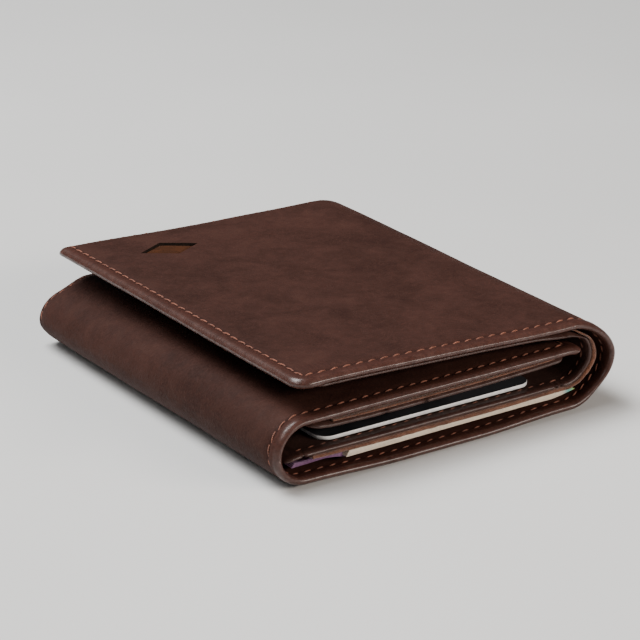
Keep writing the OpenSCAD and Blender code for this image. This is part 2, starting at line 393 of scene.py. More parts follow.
def new_material(name, slot_gloss=0.5, **fixed):
    """A material with its shader and the object's own coordinates. Fixed values sit on sockets."""
    material = bpy.data.materials.new(name)
    material.use_nodes = True
    tree = material.node_tree
    shader = tree.nodes["Principled BSDF"]
    shader.inputs["Specular IOR Level"].default_value = slot_gloss
    for key, value in fixed.items():
        shader.inputs[key.replace("_", " ")].default_value = value
    return material, tree, shader, node(tree, "ShaderNodeTexCoord", out=3)


def noise_at(tree, place, scale, detail=3.0, roughness=0.55, distortion=0.0):
    return node(
        tree, "ShaderNodeTexNoise", {}, Vector=place, Scale=scale, Detail=detail,
        Roughness=roughness, Distortion=distortion,
    )


def attach(tree, shader, **links):
    for key, value in links.items():
        tree.links.new(value.socket, shader.inputs[key.replace("_", " ")])


def leather_material(name, dark, mid, light, rub, gloss, grain=1.0, coat=0.8):
    """Oiled leather: cloudy where it has been bent, rubbed along its edges, with painted shade in
    its seam grooves.
    """
    material, tree, shader, place = new_material(name, gloss)
    edge = node(tree, "ShaderNodeAttribute", {"attribute_name": "edge_mm"}, out=2)
    clouds = noise_at(tree, place, 26, 4, 0.62, 0.6).between(0.33, 0.68)
    patches = noise_at(tree, place, 85, 5, 0.7, 0.4).between(0.3, 0.72)
    mottle = noise_at(tree, place, 420, 4, 0.7).between(0.3, 0.7)
    specks = noise_at(tree, place, 1700, 3, 0.7).between(0.3, 0.7)
    pores = node(tree, "ShaderNodeTexVoronoi", {}, Vector=place, Scale=1300)
    scars = noise_at(tree, place, 60, 6, 0.75, 2.5).between(0.485, 0.5)
    scars = scars * (1 - noise_at(tree, place, 60, 6, 0.75, 2.5).between(0.5, 0.515))
    base = mix_color(tree, 0.15 + clouds * 0.25 + patches * 0.25 + mottle * 0.3, dark, mid)
    base = mix_color(tree, patches * specks * 0.4, base, light)
    base = mix_color(tree, scars * 0.18, base, light)
    border = (1 - edge.between(2.7, 4.8)) * (0.4 + 0.5 * patches)
    base = mix_color(tree, border, base, rub)
    bead = (1 - edge.between(0.6, 1.7)) * (0.35 + 0.65 * mottle) * 0.4
    base = mix_color(tree, bead, base, light)
    # painted shade: the stitch groove is darkened towards the dark colour, standing for the shadow
    # along the row
    groove = edge.between(2.4, 3.0) * (1 - edge.between(3.4, 4.1))
    base = mix_color(tree, groove * 0.6, base, dark)
    tint = mix_color(tree, specks * 0.45, base, tuple(c * 0.4 for c in dark))
    polish = 1 - edge.between(0.5, 1.9)
    rough = 0.6 + 0.12 * specks + 0.1 * mottle - 0.27 * polish
    height = pores * 0.4 * grain + specks * 0.55 * grain + mottle * 0.4 * grain + patches * 0.3
    bump = node(tree, "ShaderNodeBump", {}, Strength=0.34, Distance=0.00024, Height=height)
    shader.inputs["Coat Roughness"].default_value = 0.27
    worn = polish * (0.4 + 0.6 * mottle) * coat
    attach(tree, shader, Base_Color=tint, Roughness=rough, Coat_Weight=worn, Normal=bump)
    return material


shell_leather = leather_material(
    "shell_leather", (0.022, 0.0070, 0.0046), (0.048, 0.0170, 0.0115), (0.110, 0.048, 0.036),
    (0.055, 0.0174, 0.0115), 0.14,
)


def finish_piece(piece, material, body=None, stands_for=()):
    piece.data.materials.append(material)
    if stands_for:
        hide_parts(*stands_for)
    if body:
        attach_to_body(piece, body)
    return piece


FOLD_BODIES = ("center", *(f"right_fold_strip_{n}" for n in (1, 2, 3)), "outer_flap")


def point_on(layer, s, depth):
    """The point in the wallet's frame at a distance s along a layer and at a depth in it."""
    x, z, nx, nz = (float(v) for v in layer.frame_at(np.array(s), np.array(0.0)))
    return ((x - nx * depth) * MM, 0, (z - nz * depth) * MM)


def bend_piece(piece, layer, s_range, depth, bodies):
    start, end = (point_on(layer, s, depth) for s in s_range)
    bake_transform(piece)


def fold_strip(k, name, layer, low, thickness, material, slot, depth, nodes=(), **look):
    """One of a layer's four strips round the right fold."""
    span = layer.marks[low + k : low + k + 2]
    strip = leather_piece(f"{name}_{k + 1}", layer, span, thickness, **look)
    finish_piece(strip, material, stands_for=nodes[k : k + 1])
    bend_piece(strip, layer, span, depth, FOLD_BODIES[k : k + 2])
    return span


def shell_thickness(s):
    """The leather is turned over at both tips, so it is thicker there."""
    return SHELL_T + 0.45 * smooth((s - m[10] + 9) / 5)


m = shell.marks
piece = leather_piece(
    "inner_flap_leather", shell, (m[0], m[1]), SHELL_T, (True, False), corner=INNER_CORNER_R
)
finish_piece(piece, shell_leather, "inner_flap", ["inner_flap_shell"])
piece = leather_piece("left_fold_leather", shell, (m[1], m[3]), SHELL_T, step=0.8)
finish_piece(piece, shell_leather)
bend_piece(piece, shell, (m[3], m[1]), 0, ("center", "inner_flap"))
piece = leather_piece("centre_leather", shell, (m[3], m[5]), SHELL_T, step=0.9)
centre_nodes = ["center_shell", "left_spine_shell"]
finish_piece(piece, shell_leather, "center", centre_nodes)
shell_nodes = [f"right_spine_shell_{n}" for n in (1, 2, 3)]
fold_look = (shell_leather, "shell_leather", SHELL_T, shell_nodes)
for k in range(4):
    fold_strip(k, "right_fold_leather", shell, 5, SHELL_T, *fold_look, step=0.55)
outer_flap_leather = leather_piece(
    "outer_flap_leather", shell, (m[9], m[10]), shell_thickness, (False, True),
    corner=OUTER_CORNER_R,
)
finish_piece(outer_flap_leather, shell_leather, "outer_flap", ["outer_flap_shell"])

# ---- Emblem ------------------------------------------------------------------------------------
# A plain lozenge die-cut through the outer flap's leather near its far corner, and the brown suede
# patch that is glued behind it and shows through.

EMBLEM_AT = (-16.5, 34.5)
EMBLEM_HALF = (7.5, 4.5)
PATCH_LOW, PATCH_HIGH, PATCH_CROWN = 20.45, 21.4, 0.3


def cut_emblem(piece):
    """Cuts the lozenge through both faces of the flap's leather, and walls its sides."""
    bm = bmesh.new()
    bm.from_mesh(piece.data)
    cx, cy = EMBLEM_AT
    hx, hy = EMBLEM_HALF

    def inside(x, y, room):
        return abs(x - cx) / hx + abs(y - cy) / hy < room

    for sx, sy in ((1, 1), (1, -1), (-1, 1), (-1, -1)):
        near = [
            f
            for f in bm.faces
            if inside(*(c / MM for c in f.calc_center_median().xy), 2.2)
        ]
        parts = {e for f in near for e in f.edges}, {v for f in near for v in f.verts}
        bmesh.ops.bisect_plane(
            bm, geom=[*near, *parts[0], *parts[1]], dist=1e-7,
            plane_co=((cx + sx * hx) * MM, cy * MM, 0), plane_no=(sx / hx, sy / hy, 0),
        )
    gone = [
        f for f in bm.faces if inside(*(c / MM for c in f.calc_center_median().xy), 0.9999)
    ]
    bmesh.ops.delete(bm, geom=gone, context="FACES")
    rim = [e for e in bm.edges if e.is_boundary]
    walls = bmesh.ops.bridge_loops(bm, edges=rim)["faces"]
    for f in walls:
        f.material_index = 1
        f.smooth = False
        for e in f.edges:
            e.smooth = False
    loose = [v for v in bm.verts if not v.link_faces]
    bmesh.ops.delete(bm, geom=loose, context="VERTS")
    bmesh.ops.recalc_face_normals(bm, faces=bm.faces)
    bm.to_mesh(piece.data)
    bm.free()


# The cut's walls are painted near-black: painted shade, the shadow along the rim of the cut-out.
cut_leather, tree, shader, place = new_material("cut_leather_edge", 0.2, Roughness=0.85)
fibres = noise_at(tree, place, 1400, 3, 0.7).between(0.3, 0.7)
painted_rim_shade = mix_color(tree, fibres, (0.006, 0.004, 0.003), (0.022, 0.012, 0.008))
attach(tree, shader, Base_Color=painted_rim_shade)
outer_flap_leather.data.materials.append(cut_leather)
cut_emblem(outer_flap_leather)


def suede_material(name, dark, light, nap=1.0, sheen=0.25):
    """Suede: the cut fibres stand up in a short uneven nap, so it is matt and mottled."""
    material, tree, shader, place = new_material(name, 0.15, Roughness=0.93)
    shader.inputs["Sheen Weight"].default_value = sheen
    shader.inputs["Sheen Roughness"].default_value = 0.5
    nap_clouds = noise_at(tree, place, 260, 4, 0.65).between(0.3, 0.7)
    fibres = noise_at(tree, place, 2600, 3, 0.75).between(0.28, 0.72)
    color = mix_color(tree, nap_clouds * 0.5 + fibres * 0.5, dark, light)
    height = fibres * 0.7 + nap_clouds * 0.5
    bump = node(tree, "ShaderNodeBump", {}, Strength=0.5 * nap, Distance=0.0003, Height=height)
    attach(tree, shader, Base_Color=color, Normal=bump)
    return material


patch_suede = suede_material(
    "tan_patch", (0.022, 0.0066, 0.0020), (0.062, 0.0188, 0.0050), nap=0.7, sheen=0.0
)


def lozenge_patch(name, count=14):
    """A patch that fills the cut-out, a little crowned, as leather pressed up from behind."""
    bm = bmesh.new()
    cx, cy = EMBLEM_AT
    hx, hy = (h - 0.04 for h in EMBLEM_HALF)
    faces = []
    for z, rise in ((PATCH_LOW, 0), (PATCH_HIGH, PATCH_CROWN)):
        grid = []
        for i in range(count + 1):
            for j in range(count + 1):
                u, v = 2 * i / count - 1, 2 * j / count - 1
                x, y = cx + hx * (u + v) / 2, cy + hy * (u - v) / 2
                bulge = rise * (1 - u**4) * (1 - v**4)
                ruffle = 0.04 * noise.noise(Vector((x, y, z))) if rise else 0
                height = z + bulge + ruffle
                px, pz = settle(np.array(x), np.array(y), np.array(height))
                grid.append(bm.verts.new((px * MM, y * MM, pz * MM)))
        faces.append(grid)
    side = count + 1
    for grid in faces:
        for i in range(count):
            for j in range(count):
                a = i * side + j
                bm.faces.new((grid[a], grid[a + 1], grid[a + side + 1], grid[a + side]))
    rim = [e for e in bm.edges if e.is_boundary]
    bmesh.ops.bridge_loops(bm, edges=rim)
    return fill_mesh(new_object(name, bpy.data.meshes.new(name)), bm)


emblem_patch = lozenge_patch("emblem_patch")
finish_piece(emblem_patch, patch_suede, "outer_flap", ["emblem_inlay"])

# ---- Shell stitching ---------------------------------------------------------------------------
# Waxed copper-brown thread, sewn in a saddle stitch along every edge of the shell. Each stitch
# leans a little, and both of its ends go down into their holes.

STITCH_PITCH = 3.0
STITCH_L = 2.3
THREAD_D = 0.38
LEAN = 0.24  # how far a stitch turns from its row, in radians
SUNK = 0.16  # how deep a stitch lies in its groove
PRESSED_IN = 0.36  # on the underside, which the table presses flush


def stitch_tree():
    """Puts one bent stitch at each point of a guide, turned to the guide's own directions."""
    tree = bpy.data.node_groups.new("stitch_row", "GeometryNodeTree")
    sides = tree.interface
    sides.new_socket("Geometry", in_out="INPUT", socket_type="NodeSocketGeometry")
    sizes = (("Stitch length", STITCH_L * MM), ("Thread", THREAD_D * MM), ("Lean", LEAN))
    for name, value in sizes:
        made = sides.new_socket(name, in_out="INPUT", socket_type="NodeSocketFloat")
        made.default_value = value
    sides.new_socket("Thread material", in_out="INPUT", socket_type="NodeSocketMaterial")
    sides.new_socket("Geometry", in_out="OUTPUT", socket_type="NodeSocketGeometry")
    given = tree.nodes.new("NodeGroupInput")
    result = tree.nodes.new("NodeGroupOutput")

    def link(a, b):
        tree.links.new(a, b)

    def add(kind, **settings):
        made = tree.nodes.new(kind)
        for key, value in settings.items():
            setattr(made, key, value)
        return made

    def times(a, factor):
        made = add("ShaderNodeMath", operation="MULTIPLY")
        link(a, made.inputs[0])
        made.inputs[1].default_value = factor
        return made.outputs[0]

    def point(x, z):
        made = add("ShaderNodeCombineXYZ")
        if x is not None:
            link(x, made.inputs[0])
        link(z, made.inputs[2])
        return made.outputs[0]

    length, thread = given.outputs["Stitch length"], given.outputs["Thread"]
    bow = add("GeometryNodeCurveQuadraticBezier")
    bow.inputs["Resolution"].default_value = 7
    link(point(times(length, -0.5), times(thread, -0.55)), bow.inputs["Start"])
    link(point(None, times(thread, 0.95)), bow.inputs["Middle"])
    link(point(times(length, 0.5), times(thread, -0.55)), bow.inputs["End"])
    ring = add("GeometryNodeCurvePrimitiveCircle")
    ring.inputs["Resolution"].default_value = 8
    link(times(thread, 0.5), ring.inputs["Radius"])
    body = add("GeometryNodeCurveToMesh")
    link(bow.outputs[0], body.inputs["Curve"])
    link(ring.outputs[0], body.inputs["Profile Curve"])
    body.inputs["Fill Caps"].default_value = True
    outward = add("GeometryNodeInputNamedAttribute", data_type="FLOAT_VECTOR")
    outward.inputs["Name"].default_value = "outward"
    onward = add("GeometryNodeInputNamedAttribute", data_type="FLOAT_VECTOR")
    onward.inputs["Name"].default_value = "onward"
    turn = add("FunctionNodeAxesToRotation", primary_axis="Z", secondary_axis="X")
    link(outward.outputs[0], turn.inputs[0])
    link(onward.outputs[0], turn.inputs[1])
    jitter = add("FunctionNodeRandomValue", data_type="FLOAT")
    jitter.inputs[2].default_value, jitter.inputs[3].default_value = 0.6, 1.4
    jitter.inputs["Seed"].default_value = 11
    lean = add("ShaderNodeMath", operation="MULTIPLY")
    link(jitter.outputs[1], lean.inputs[0])
    link(given.outputs["Lean"], lean.inputs[1])
    tilt = add("FunctionNodeAxisAngleToRotation")
    tilt.inputs["Axis"].default_value = (0, 0, 1)
    link(lean.outputs[0], tilt.inputs["Angle"])
    leaned = add("FunctionNodeRotateRotation", rotation_space="LOCAL")
    link(turn.outputs[0], leaned.inputs[0])
    link(tilt.outputs[0], leaned.inputs[1])
    place = add("GeometryNodeInstanceOnPoints")
    link(given.outputs["Geometry"], place.inputs["Points"])
    link(body.outputs[0], place.inputs["Instance"])
    link(leaned.outputs[0], place.inputs["Rotation"])
    real = add("GeometryNodeRealizeInstances")
    link(place.outputs[0], real.inputs[0])
    dress = add("GeometryNodeSetMaterial")
    link(real.outputs[0], dress.inputs["Geometry"])
    link(given.outputs["Thread material"], dress.inputs["Material"])
    link(dress.outputs[0], result.inputs[0])
    return tree


def thread_material(name, dark, light):
    material, tree, shader, place = new_material(name, 0.35)
    twist = node(
        tree, "ShaderNodeTexWave", {"bands_direction": "DIAGONAL"}, Vector=place, Scale=900,
        Distortion=3, Detail=2,
    )
    wear = noise_at(tree, place, 500, 3, 0.6).between(0.3, 0.7)
    color = mix_color(tree, twist * 0.5 + wear * 0.5, dark, light)
    bump = node(tree, "ShaderNodeBump", {}, Strength=0.5, Distance=0.0001, Height=twist)
    attach(tree, shader, Base_Color=color, Roughness=0.5 + 0.25 * wear, Normal=bump)
    return material


copper_thread = thread_material("copper_thread", (0.075, 0.027, 0.017), (0.31, 0.118, 0.074))
stitch_nodes = stitch_tree()


def row_along(layer, s_range, y, depth=0.0, sign=1, sunk=SUNK):
    """Guide points for a row along a layer: place, outward direction and onward direction."""
    count = max(1, round((s_range[1] - s_range[0]) / STITCH_PITCH))
    s = s_range[0] + (np.arange(count) + 0.5) * (s_range[1] - s_range[0]) / count
    ys = np.full_like(s, y)
    x, z = settled(layer, s, ys, -depth - sign * sunk)
    ax, az = settled(layer, s - 0.4, ys, -depth - sign * sunk)
    nx, nz = layer.frame_at(s, ys)[2:]
    return [
        ((x[i], y, z[i]), (sign * nx[i], 0, sign * nz[i]), (x[i] - ax[i], 0, z[i] - az[i]))
        for i in range(count)
    ]


def row_across(layer, s, y_range, depth=0.0, sign=1):
    count = max(1, round((y_range[1] - y_range[0]) / STITCH_PITCH))
    ys = y_range[0] + (np.arange(count) + 0.5) * (y_range[1] - y_range[0]) / count
    places = np.full_like(ys, s)
    x, z = settled(layer, places, ys, -depth - sign * SUNK)
    nx, nz = layer.frame_at(places, ys)[2:]
    return [
        ((x[i], ys[i], z[i]), (sign * nx[i], 0, sign * nz[i]), (0, 1, 0)) for i in range(count)
    ]


def sew(name, *rows):
    """Real stitches, as one mesh, at every guide point of the rows."""
    points = [p for row in rows for p in row]
    mesh = bpy.data.meshes.new(name + "_guide")
    mesh.from_pydata([tuple(c * MM for c in p[0]) for p in points], [], [])
    for key, index in (("outward", 1), ("onward", 2)):
        attribute = mesh.attributes.new(key, "FLOAT_VECTOR", "POINT")
        attribute.data.foreach_set("vector", [c for p in points for c in p[index]])
    guide = new_object(name + "_guide", mesh)
    sewing = guide.modifiers.new("stitches", "NODES")
    sewing.node_group = stitch_nodes
    for item in stitch_nodes.interface.items_tree:
        if item.name == "Thread material":
            sewing[item.identifier] = copper_thread
    graph = bpy.context.evaluated_depsgraph_get()
    made = bpy.data.meshes.new_from_object(guide.evaluated_get(graph))
    bpy.data.objects.remove(guide)
    made.name = name
    made.polygons.foreach_set("use_smooth", [True] * len(made.polygons))
    stitches = new_object(name, made)
    return stitches


MOUTH_ROW, CLOSED_ROW = -HALF_H + SEAM_INSET, HALF_H - CLOSED_INSET


def both_sides(layer, s_range, thickness, sunk=SUNK):
    """Rows at the mouth and at the closed end, on the outer and on the inner face."""
    return [
        row_along(layer, s_range, y, depth, sign, sunk if sign > 0 else SUNK)
        for y in (MOUTH_ROW, CLOSED_ROW)
        for depth, sign in ((0, 1), (thickness, -1))
    ]


first, last = m[0] + SEAM_INSET, m[10] - SEAM_INSET
inner_rows = both_sides(shell, (first, m[1]), SHELL_T)
inner_rows.append(row_across(shell, first, (MOUTH_ROW, CLOSED_ROW)))
stitches = sew("inner_flap_stitches", *inner_rows)
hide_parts("inner_flap_stitching")
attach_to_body(stitches, "inner_flap")
stitches = sew("left_fold_stitches", *both_sides(shell, (m[1], m[3]), SHELL_T))
bend_piece(stitches, shell, (m[3], m[1]), 0, ("center", "inner_flap"))
stitches = sew("centre_stitches", *both_sides(shell, (m[3], m[5]), SHELL_T, PRESSED_IN))
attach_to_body(stitches, "center")
for k in range(4):
    span = (m[5 + k], m[6 + k])
    stitches = sew(f"right_fold_stitches_{k + 1}", *both_sides(shell, span, SHELL_T))
    bend_piece(stitches, shell, span, SHELL_T, FOLD_BODIES[k : k + 2])
outer_rows = both_sides(shell, (m[9], last), SHELL_T)
outer_rows.append(row_across(shell, last, (MOUTH_ROW, CLOSED_ROW)))
stitches = sew("outer_flap_stitches", *outer_rows)
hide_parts("outer_flap_stitching")
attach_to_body(stitches, "outer_flap")

# ---- Note compartment lining -------------------------------------------------------------------
# Thin tan suede, glued behind the pocket panel, with a raw edge that shows at the mouth. It
# runs round the right fold with the panel, and down to the shell at the closed end.

BAND_X = 30.6  # the middle of the round that the inner layers take in the right fold
SHELL_INSIDE = RIGHT_FOLD_R - SHELL_T
LINING_Z, FLAP_LINING_Z, LINING_END_X = 5.4, 20.4, -33.0
LINING_T, FLAP_LINING_T = 0.95, 0.18
tan_suede = suede_material("tan_suede", (0.060, 0.020, 0.010), (0.215, 0.085, 0.045), 1.5)


def round_the_fold(center, radius):
    return [arc(center, radius, a, a + 45) for a in (0, 45, 90, 135)]


lining = Layer(
    [
        line((-34, LINING_Z), (BAND_X, LINING_Z)),
        *round_the_fold((BAND_X, 12.9), 7.5),
        line((BAND_X, FLAP_LINING_Z), (LINING_END_X, FLAP_LINING_Z)),
    ],
    [
        line((-34, SHELL_T), (RIGHT_FOLD_X, SHELL_T)),
        *round_the_fold(right_fold_center, SHELL_INSIDE),
        line((RIGHT_FOLD_X, FLAP_LINING_Z), (LINING_END_X, FLAP_LINING_Z)),
    ],
)
m = lining.marks


def lining_thickness(s):
    """It is pressed thin where it passes on to the outer flap."""
    return LINING_T - (LINING_T - FLAP_LINING_T) * smooth((s - m[3]) / (m[5] - m[3]))


def ragged(s):
    """The raw edge at the mouth: uneven, and drawn back out of sight on the outer flap."""
    fray = [0.22 * noise.noise(Vector((v / 1.7, 5, 0))) for v in s.ravel()]
    return np.array(fray).reshape(s.shape) + 1.6 * smooth((s - m[4]) / (m[5] - m[4]))


raw_edge = {"hem": 0.0, "y_range": (-HALF_H + 0.35, HALF_H - 0.4), "retreat": ragged}
piece = leather_piece(
    "centre_lining", lining, (m[0], m[1]), lining_thickness, (True, False), step=0.9, **raw_edge
)
finish_piece(piece, tan_suede, "center", ["center_lining"])
lining_look = (lining_thickness, tan_suede, "tan_suede", 0.5)
for k in range(4):
    fold_strip(k, "fold_lining", lining, 1, *lining_look, step=0.6, **raw_edge)
piece = leather_piece(
    "outer_flap_lining_suede", lining, (m[5], m[6]), lining_thickness, (False, True), step=1.5,
    corner=3, **raw_edge,
)
finish_piece(piece, tan_suede, "outer_flap", ["outer_flap_lining"])

# ---- Pocket panel ------------------------------------------------------------------------------
# The inner panel that carries the card slots, in the same brown leather cut thinner, with its
# edges turned. It lies over the lining, bends round the right fold and lines the outer flap.

# Painted shade: this is the shell's brown leather painted darker, for the shaded inside of the
# wallet.
inner_leather = leather_material(
    "inner_leather", (0.018, 0.0068, 0.0049), (0.036, 0.0145, 0.0105), (0.095, 0.047, 0.037),
    (0.042, 0.0155, 0.0110), 0.2, 0.7, 0.45,
)
PANEL_T, BAND_T, FLAP_PANEL_T = 1.15, 1.0, 0.95
PANEL_Z, FLAP_PANEL_Z, PANEL_END_X = 6.17, 20.2, -33.2
PANEL_SEAM = 3.0  # from the panel's ends to its stitches
PANEL_SUNK = 0.18  # flush enough for the card to slide over them
panel = Layer(
    [
        [*line((-40.0, 5.25), (-38.2, 5.93), 6), *line((-38.2, 5.93), (-36.2, PANEL_Z), 6)[1:]],
        [
            *line((-36.2, PANEL_Z), (25.6, PANEL_Z), 36),
            *line((25.6, PANEL_Z), (BAND_X, 6.25), 4)[1:],
        ],
        *round_the_fold((BAND_X, 12.95), 6.7),
        line((BAND_X, 19.65), (24, FLAP_PANEL_Z)),
        line((24, FLAP_PANEL_Z), (PANEL_END_X, FLAP_PANEL_Z)),
    ],
    [
        line((-34.2, 2.6), (-32.8, 2.1), 12),
        line((-32.8, 2.1), (RIGHT_FOLD_X, 2.1)),
        *round_the_fold(right_fold_center, SHELL_INSIDE - 0.5),
        line((RIGHT_FOLD_X, 19.9), (24, FLAP_PANEL_Z)),
        line((24, FLAP_PANEL_Z), (PANEL_END_X, FLAP_PANEL_Z)),
    ],
)
m = panel.marks


def panel_thickness(s):
    """It is pressed thinner where the inner flap's tip lies inside the fold."""
    past = smooth((s - m[5]) / (m[6] - m[5]))
    pressed = 0.2 * smooth((s - m[3]) / 4) * (1 - past)
    flat = BAND_T + (PANEL_T - BAND_T) * smooth((m[2] - s) / 6)
    return flat - pressed - (BAND_T - FLAP_PANEL_T) * past


def drawn_back(s):
    """On the outer flap the panel's edge at the mouth lies further in than the flap's own."""
    return 0.7 * smooth((s - m[6]) / 12)


panel_nicks = (m[1] + 0.4, m[2] - 2.2, m[2] - 0.9)
turned_edge = {"y_range": (-HALF_H + 0.6, HALF_H - 0.5), "seam": SEAM_INSET - 0.6}
piece = leather_piece(
    "centre_panel_leather", panel, (m[0], m[2]), panel_thickness, (True, False), corner=2,
    nicks=panel_nicks, **turned_edge,
)
panel_nodes = ["center_panel", "spine_band_1"]
finish_piece(piece, inner_leather, "center", panel_nodes)
row = row_along(panel, (m[0] + PANEL_SEAM, m[2]), MOUTH_ROW, PANEL_T, -1, PANEL_SUNK)
stitches = sew("centre_panel_stitches", row)
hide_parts("center_stitching")
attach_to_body(stitches, "center")
band_nodes = [f"spine_band_{n}" for n in (2, 3, 4)]
band_look = (panel_thickness, inner_leather, "inner_leather", BAND_T, band_nodes)
for k in range(4):
    span = fold_strip(k, "fold_panel_leather", panel, 2, *band_look, step=0.5, **turned_edge)
    row = row_along(panel, span, MOUTH_ROW, BAND_T - 0.1 * k, -1)
    stitches = sew(f"fold_panel_stitches_{k + 1}", row)
    bend_piece(stitches, panel, span, BAND_T, FOLD_BODIES[k : k + 2])
piece = leather_piece(
    "outer_flap_panel_leather", panel, (m[6], m[8]), panel_thickness, (False, True), corner=3.2,
    retreat=drawn_back, **turned_edge,
)
panel_nodes = ["outer_flap_panel", "spine_band_5"]
finish_piece(piece, inner_leather, "outer_flap", panel_nodes)
ends = (MOUTH_ROW, CLOSED_ROW)
last = m[8] - PANEL_SEAM
flap_rows = [row_along(panel, (m[6], last), y, FLAP_PANEL_T, -1) for y in ends]
flap_rows.append(row_across(panel, last, ends, FLAP_PANEL_T, -1))
stitches = sew("outer_flap_panel_stitches", *flap_rows)
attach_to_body(stitches, "outer_flap")

# ---- Left fold band ----------------------------------------------------------------------------
# The inner leather that lies against the shell inside the left fold. It is cut back from the
# mouth, so the fold looks hollow there.

band = Layer([arc(left_fold_center, LEFT_FOLD_R - SHELL_T, -180, -94, 24)])
left_fold_band = leather_piece(
    "left_fold_band", band, (0, band.s[-1]), 1.2, (False, True), (-47, 47), step=0.7, hem=0.5
)
finish_piece(left_fold_band, inner_leather, "center", ["left_spine_band"])

# ---- Inner flap's pockets ----------------------------------------------------------------------
# The inner flap's suede lining, its panel and two card slots stacked in steps. They come
# together with the shell at the free tip, and near the left fold the panel rises to the shell.


def inner_line(drop, start, end):
    """The inner flap's layers, drop below the panel's upper face, from start back to end in X."""
    knots = [(31.2, 13.5), (28, 13.35), (22, 13.0), (10, 12.7), (-20, 12.45), (-29, 12.7)]
    knots += [(-32.2, 13.1), (-34.4, 13.42)]
    xs = np.array([k[0] for k in knots])[::-1]
    zs = np.array([k[1] for k in knots])[::-1]
    places = np.linspace(start, end, 121)
    wide = np.interp(places, xs, zs)
    soft = (np.interp(places - 1.2, xs, zs) + np.interp(places + 1.2, xs, zs) + wide) / 3
    flat = np.full_like(places, 13.3)
    return [list(zip(places, soft - drop))], [list(zip(places, flat - drop))]


def flap_layer(name, drop, start, end, thickness, material, slot, stands_for, **look):
    """One whole layer of the inner flap, with all of its edges free."""
    layer = Layer(*inner_line(drop, start, end))
    piece = leather_piece(name, layer, (0, layer.s[-1]), thickness, (True, True), **look)
    finish_piece(piece, material, "inner_flap", [stands_for])


INNER_LINING_T, INNER_PANEL_T, INNER_SLOT_T = 0.4, 1.15, 0.5
INNER_PANEL_X = 31.0  # its end near the flap's tip
raw_look = {"hem": 0.0, "y_range": (-HALF_H + 0.7, HALF_H - 0.7), "step": 1.6}
turned_look = {"corner": 3, "y_range": (-HALF_H + 0.5, HALF_H - 0.6), "seam": SEAM_INSET - 0.5}
turned_look["nicks"] = [INNER_PANEL_X - x for x in (-6, -16)]
slot_look = {"corner": 1, "y_range": (-HALF_H + 2.6, HALF_H - 2.6), "hem": 0.5}
slot_look.update(seam=1.7, fresh=1.3)
suede, leather = (tan_suede, "tan_suede"), (inner_leather, "inner_leather")
flap_layer(
    "inner_flap_lining_suede", -0.42, 27.5, -29, INNER_LINING_T, *suede, "inner_flap_lining",
    **raw_look,
)
flap_layer(
    "inner_flap_panel_leather", 0, INNER_PANEL_X, -34.4, INNER_PANEL_T, *leather,
    "inner_flap_panel", **turned_look,
)
for n in (1, 2):
    flap_layer(
        f"inner_flap_slot_leather_{n}", INNER_PANEL_T + INNER_SLOT_T * (n - 1), 30.2 - 0.3 * n,
        -26 + 10 * n, INNER_SLOT_T, *leather, f"inner_flap_slot_{n}", **slot_look,
    )

# ---- Card slots --------------------------------------------------------------------------------
# Slot pieces of thin brown leather, stacked in steps, each with a creased mouth. On the centre
# panel they open towards the mouth end, and on the outer flap towards its fold.

CARD_X, CARD_W, CARD_L, CARD_T = -3.0, 53.98, 85.6, 0.76
CARD_Y, CARD_Z = -46.6, 7.6
SLOT_T, SLOT_STEP = 0.48, 10.0  # how thick a slot piece is, and how far each one lies further in
slot_half = CARD_W / 2 + 1.9
slot_look = {"hem": 0.55, "seam": 1.7, "step": 1.3, "fresh": 1.3}
for n in (1, 2, 3):
    top = 8.45 + 0.5 * n
    skirt = 0.95 if n == 1 else 0.12
    outline = [
        (CARD_X + slot_half, top - skirt),
        (CARD_X + slot_half - 0.35, top - skirt * 0.85),
        (CARD_X + slot_half - 1.2, top - skirt * 0.12),
        (CARD_X + slot_half - 1.9, top),
    ]
    back = [(2 * CARD_X - x, z) for x, z in reversed(outline)]
    slot_layer = Layer([outline, line(outline[-1], back[0]), back])
    piece = leather_piece(
        f"centre_slot_leather_{n}", slot_layer, (0, slot_layer.s[-1]), SLOT_T, (True, True),
        (-HALF_H + 6 + SLOT_STEP * n, CLOSING_Y), **slot_look,
    )
    finish_piece(piece, inner_leather, "center", [f"center_slot_{n}"])
for n in (1, 2, 3):
    low = 19.25 - SLOT_T * n
    slot_layer = Layer([line((-29.5, low), (27.0 - SLOT_STEP * n, low))])
    piece = leather_piece(
        f"outer_flap_slot_leather_{n}", slot_layer, (0, slot_layer.s[-1]), SLOT_T, (True, True),
        (-HALF_H + 6, HALF_H - 6), corner=1, **slot_look,
    )
    finish_piece(piece, inner_leather, "outer_flap", [f"outer_flap_slot_{n}"])

# ---- Card --------------------------------------------------------------------------------------
# A standard plastic card, pushed into the centre panel's slots: a white core pressed between dark
# faces, dark as print and as painted shade over the card, with round corners and eased edges.

CARD_CORNER_R, CARD_BEVEL = 3.18, 0.05


def plate_outline(x0, x1, y0, y1, radius, count=10):
    points = []
    for cx, cy, start in (
        (x1 - radius, y0 + radius, -90), (x1 - radius, y1 - radius, 0),
        (x0 + radius, y1 - radius, 90), (x0 + radius, y0 + radius, 180),
    ):
        for i in range(count + 1):
            a = math.radians(start + 90 * i / count)
            points.append((cx + radius * math.cos(a), cy + radius * math.sin(a)))
    return points


